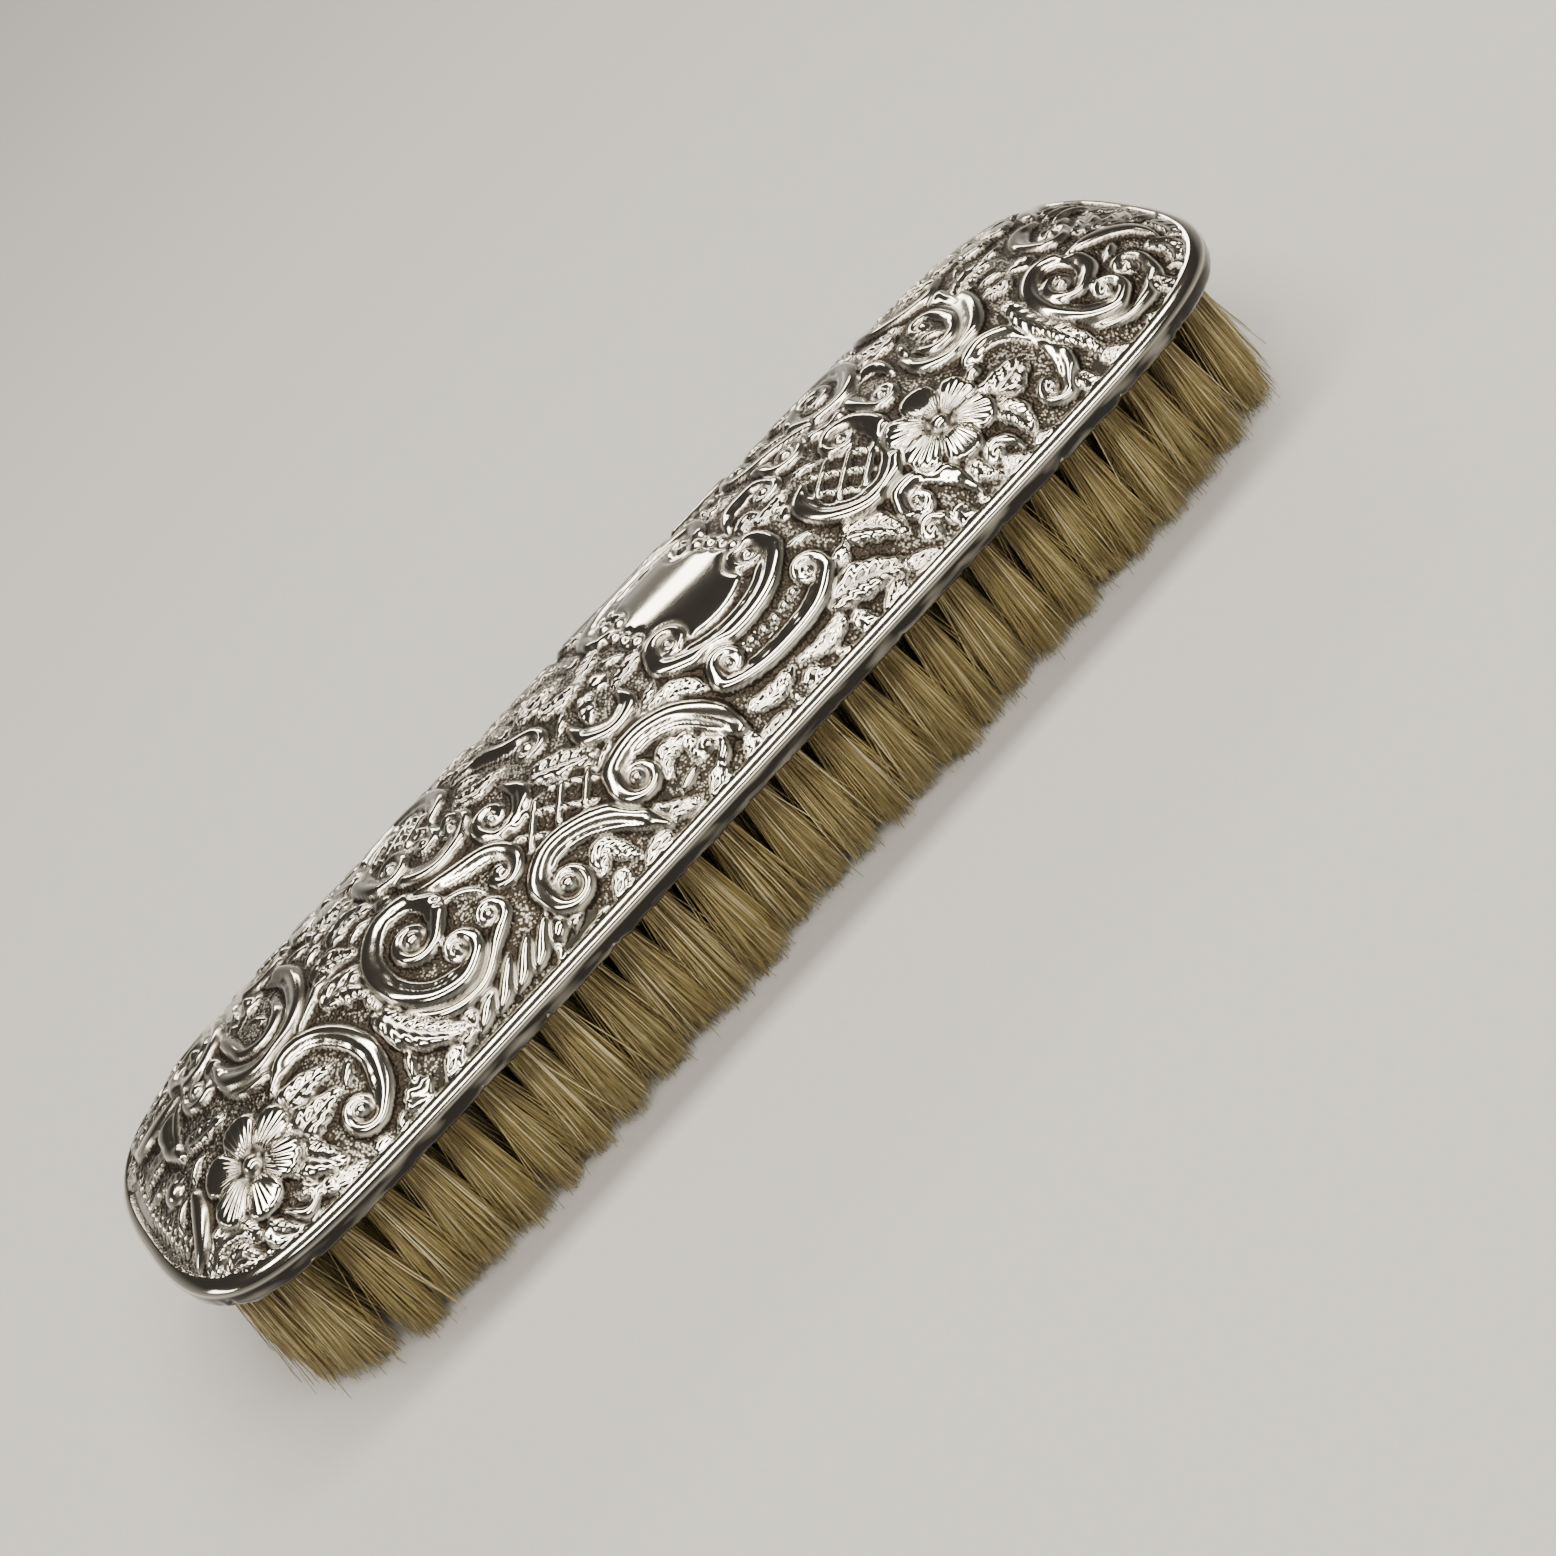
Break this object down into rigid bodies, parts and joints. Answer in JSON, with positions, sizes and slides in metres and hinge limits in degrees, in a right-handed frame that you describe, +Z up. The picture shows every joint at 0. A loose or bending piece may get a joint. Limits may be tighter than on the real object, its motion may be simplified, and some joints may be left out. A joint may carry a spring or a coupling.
{
  "type": "clothes brush",
  "caption": "Handle-less vanity clothes brush: an oblong domed metal back over a drilled wooden stock, with tufts of natural bristle in rows.",
  "frame": {"origin": "on the plane of the bristle tips, under the middle of the brush", "axes": "+X along the brush, +Y across it, +Z up out of the back"},
  "size_m": [0.178, 0.051, 0.0326],
  "materials": {
    "silver": "polished silver with dark oxidised recesses",
    "stock_wood": "smooth waxed hardwood",
    "pitch": "hard pitch and plaster filling",
    "wire": "drawn brass wire",
    "bristle": "blond natural bristle, satin"
  },
  "bodies": {
    "root": {"silver_back": "silver", "pitch_filling": "pitch", "bristle_stock": "stock_wood", "drawing_wire_row_1": "wire", "drawing_wire_row_2": "wire", "drawing_wire_row_3_near": "wire", "drawing_wire_row_3_far": "wire", "drawing_wire_row_4_near": "wire", "drawing_wire_row_4_far": "wire", "bristle_row_1_near_side": "bristle", "bristle_row_1_far_side": "bristle", "bristle_row_1_right_end": "bristle", "bristle_row_1_left_end": "bristle", "bristle_row_2_near_side": "bristle", "bristle_row_2_far_side": "bristle", "bristle_row_2_right_end": "bristle", "bristle_row_2_left_end": "bristle", "bristle_row_3_near_side": "bristle", "bristle_row_3_far_side": "bristle", "bristle_row_4_near_side": "bristle", "bristle_row_4_far_side": "bristle"}
  },
  "joints": []
}
